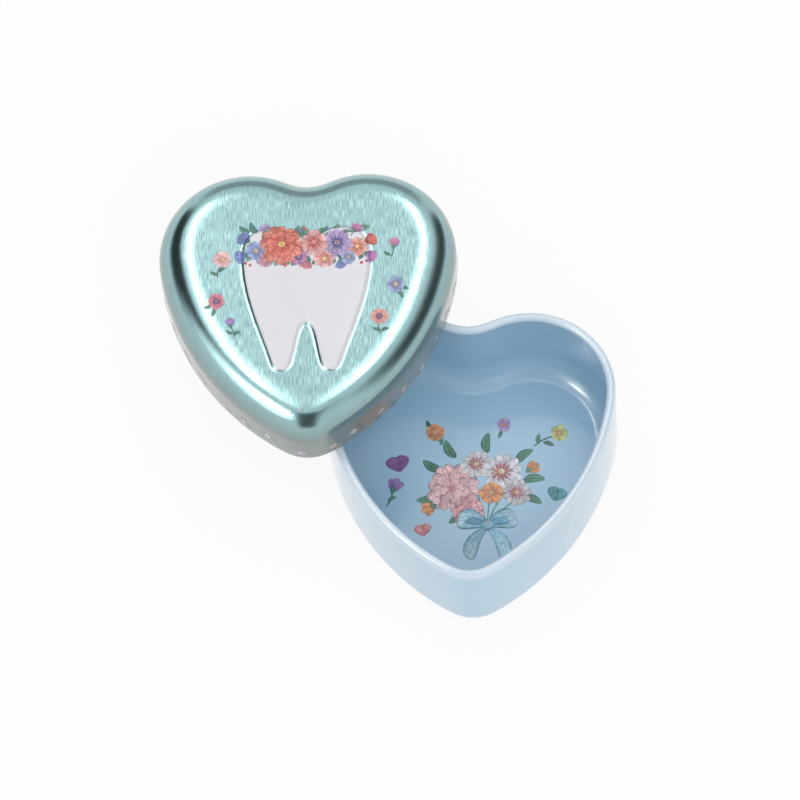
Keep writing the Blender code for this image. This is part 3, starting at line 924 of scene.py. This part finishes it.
def card(name, material, core, fades, corners):
    """Soft-edged card that only reflections see.

    It spans four corners. Its veil is the density of its core, and fades to 0 as 3t^2 - 2t^3 over
    shares of its length at the first corner and the second, then of its width at the first corner
    and the last.
    """
    u, v = np.meshgrid(np.linspace(0, 1, CARD_CELLS), np.linspace(0, 1, CARD_CELLS), indexing="ij")
    first, second, third, fourth = (np.array(corner) for corner in corners)
    u3, v3 = u[..., None], v[..., None]
    grid = (1 - v3) * ((1 - u3) * first + u3 * second) + v3 * ((1 - u3) * fourth + u3 * third)
    ways = [np.clip(t / fade, 0, 1) for t, fade in zip((u, 1 - u, v, 1 - v), fades)]
    density = core * np.prod([way * way * (3 - 2 * way) for way in ways], axis=0)
    here = np.arange(CARD_CELLS**2).reshape(CARD_CELLS, CARD_CELLS)[:-1, :-1].ravel()
    quads = np.stack([here, here + CARD_CELLS, here + CARD_CELLS + 1, here + 1], axis=1)
    plane = make_piece(name, grid.reshape(-1, 3), quads.tolist(), material)
    plane.data.attributes.new("veil", "FLOAT", "POINT").data.foreach_set("value", density.ravel())
    plane.visible_camera = False
    plane.visible_diffuse = False
    plane.visible_transmission = False
    plane.visible_shadow = False


dark = veiled("dark_card", "#1C2426")
bright = veiled("soft_light", "#FFFFFF", GLOW)
lamp_face = veiled("lamp_face", "#FFFFFF", LAMP_GLOW)
card("card_left", dark, 0.97, (0.20, 0.18, 0.25, 0.25), (
    (-0.75, 0.0, 0.12), (-0.75, 1.1, 0.12), (-0.52, 1.1, 1.08), (-0.52, 0.0, 1.08)))
card("card_right", dark, 0.92, (0.25, 0.2, 0.22, 0.60), (
    (0.75, -0.50, 0.20), (0.75, 1.1, -0.05), (0.52, 1.1, 1.10), (0.52, -0.50, 1.30)))
card("card_front", dark, 0.88, (0.3, 0.3, 0.3, 0.15), (
    (-0.47, -1.10, 0.34), (0.41, -1.10, 0.34), (0.41, -0.06, 1.0), (-0.47, -0.06, 1.0)))
card("card_back", dark, 0.5, (0.2, 0.2, 0.3, 0.3), (
    (-0.7, 1.4, -0.05), (0.7, 1.4, -0.05), (0.7, 1.1, 0.95), (-0.7, 1.1, 0.95)))
card("strip_left", bright, 1.0, (0.2, 0.2, 0.38, 0.38), (
    (-0.13, 0.06, 0.84), (-0.13, 0.78, 0.84), (-0.35, 0.78, 0.84), (-0.35, 0.06, 0.84)))
card("strip_right", bright, 1.0, (0.2, 0.2, 0.38, 0.38), (
    (-0.01, 0.06, 0.84), (-0.01, 0.78, 0.84), (0.18, 0.78, 0.84), (0.18, 0.06, 0.84)))
card("tube_left", lamp_face, 1.0, (0.05, 0.05, 0.2, 0.2), (
    (-0.255, 0.15, 0.835), (-0.255, 0.70, 0.835), (-0.285, 0.70, 0.835), (-0.285, 0.15, 0.835)))
card("tube_right", lamp_face, 1.0, (0.05, 0.05, 0.2, 0.2), (
    (0.10, 0.15, 0.835), (0.10, 0.70, 0.835), (0.13, 0.70, 0.835), (0.13, 0.15, 0.835)))
card("softbox", lamp_face, 1.0, (0.1, 0.1, 0.1, 0.1), (
    (-0.45, -0.34, 0.84), (-0.45, -0.08, 0.84), (-0.70, -0.08, 0.69), (-0.70, -0.34, 0.69)))
card("window_left", bright, 1.0, (0.2, 0.6, 0.25, 0.35), (
    (-0.45, -0.66, 0.90), (-0.45, 0.22, 0.90), (-0.88, 0.22, 0.48), (-0.88, -0.66, 0.48)))


def lamp(name, place, size, watts):
    """Rectangular lamp that faces the tin, its length along Y. Reflections see the cards instead."""
    back = Vector(place).normalized()
    across = Vector((0, 1, 0)).cross(back).normalized()
    turn = Matrix((across, back.cross(across), back)).transposed().to_4x4()
    light = bpy.data.lights.new(name, "AREA")
    light.shape = "RECTANGLE"
    light.size, light.size_y = size
    light.energy = watts
    made = bpy.data.objects.new(name, light)
    made.matrix_world = Matrix.Translation(place) @ turn
    made.visible_glossy = False
    bpy.context.scene.collection.objects.link(made)


lamp("lamp_strip_left", (-0.295, 0.42, 0.84), (0.25, 0.64), 0.75)
lamp("lamp_strip_right", (0.15, 0.42, 0.84), (0.25, 0.64), 0.75)
lamp("lamp_window", (-0.535, -0.32, 0.67), (0.52, 0.46), 0.4)
lamp("lamp_front", (0.15, -0.50, 0.85), (0.80, 0.80), 3.6)

bpy.context.scene.view_settings.view_transform = "Standard"
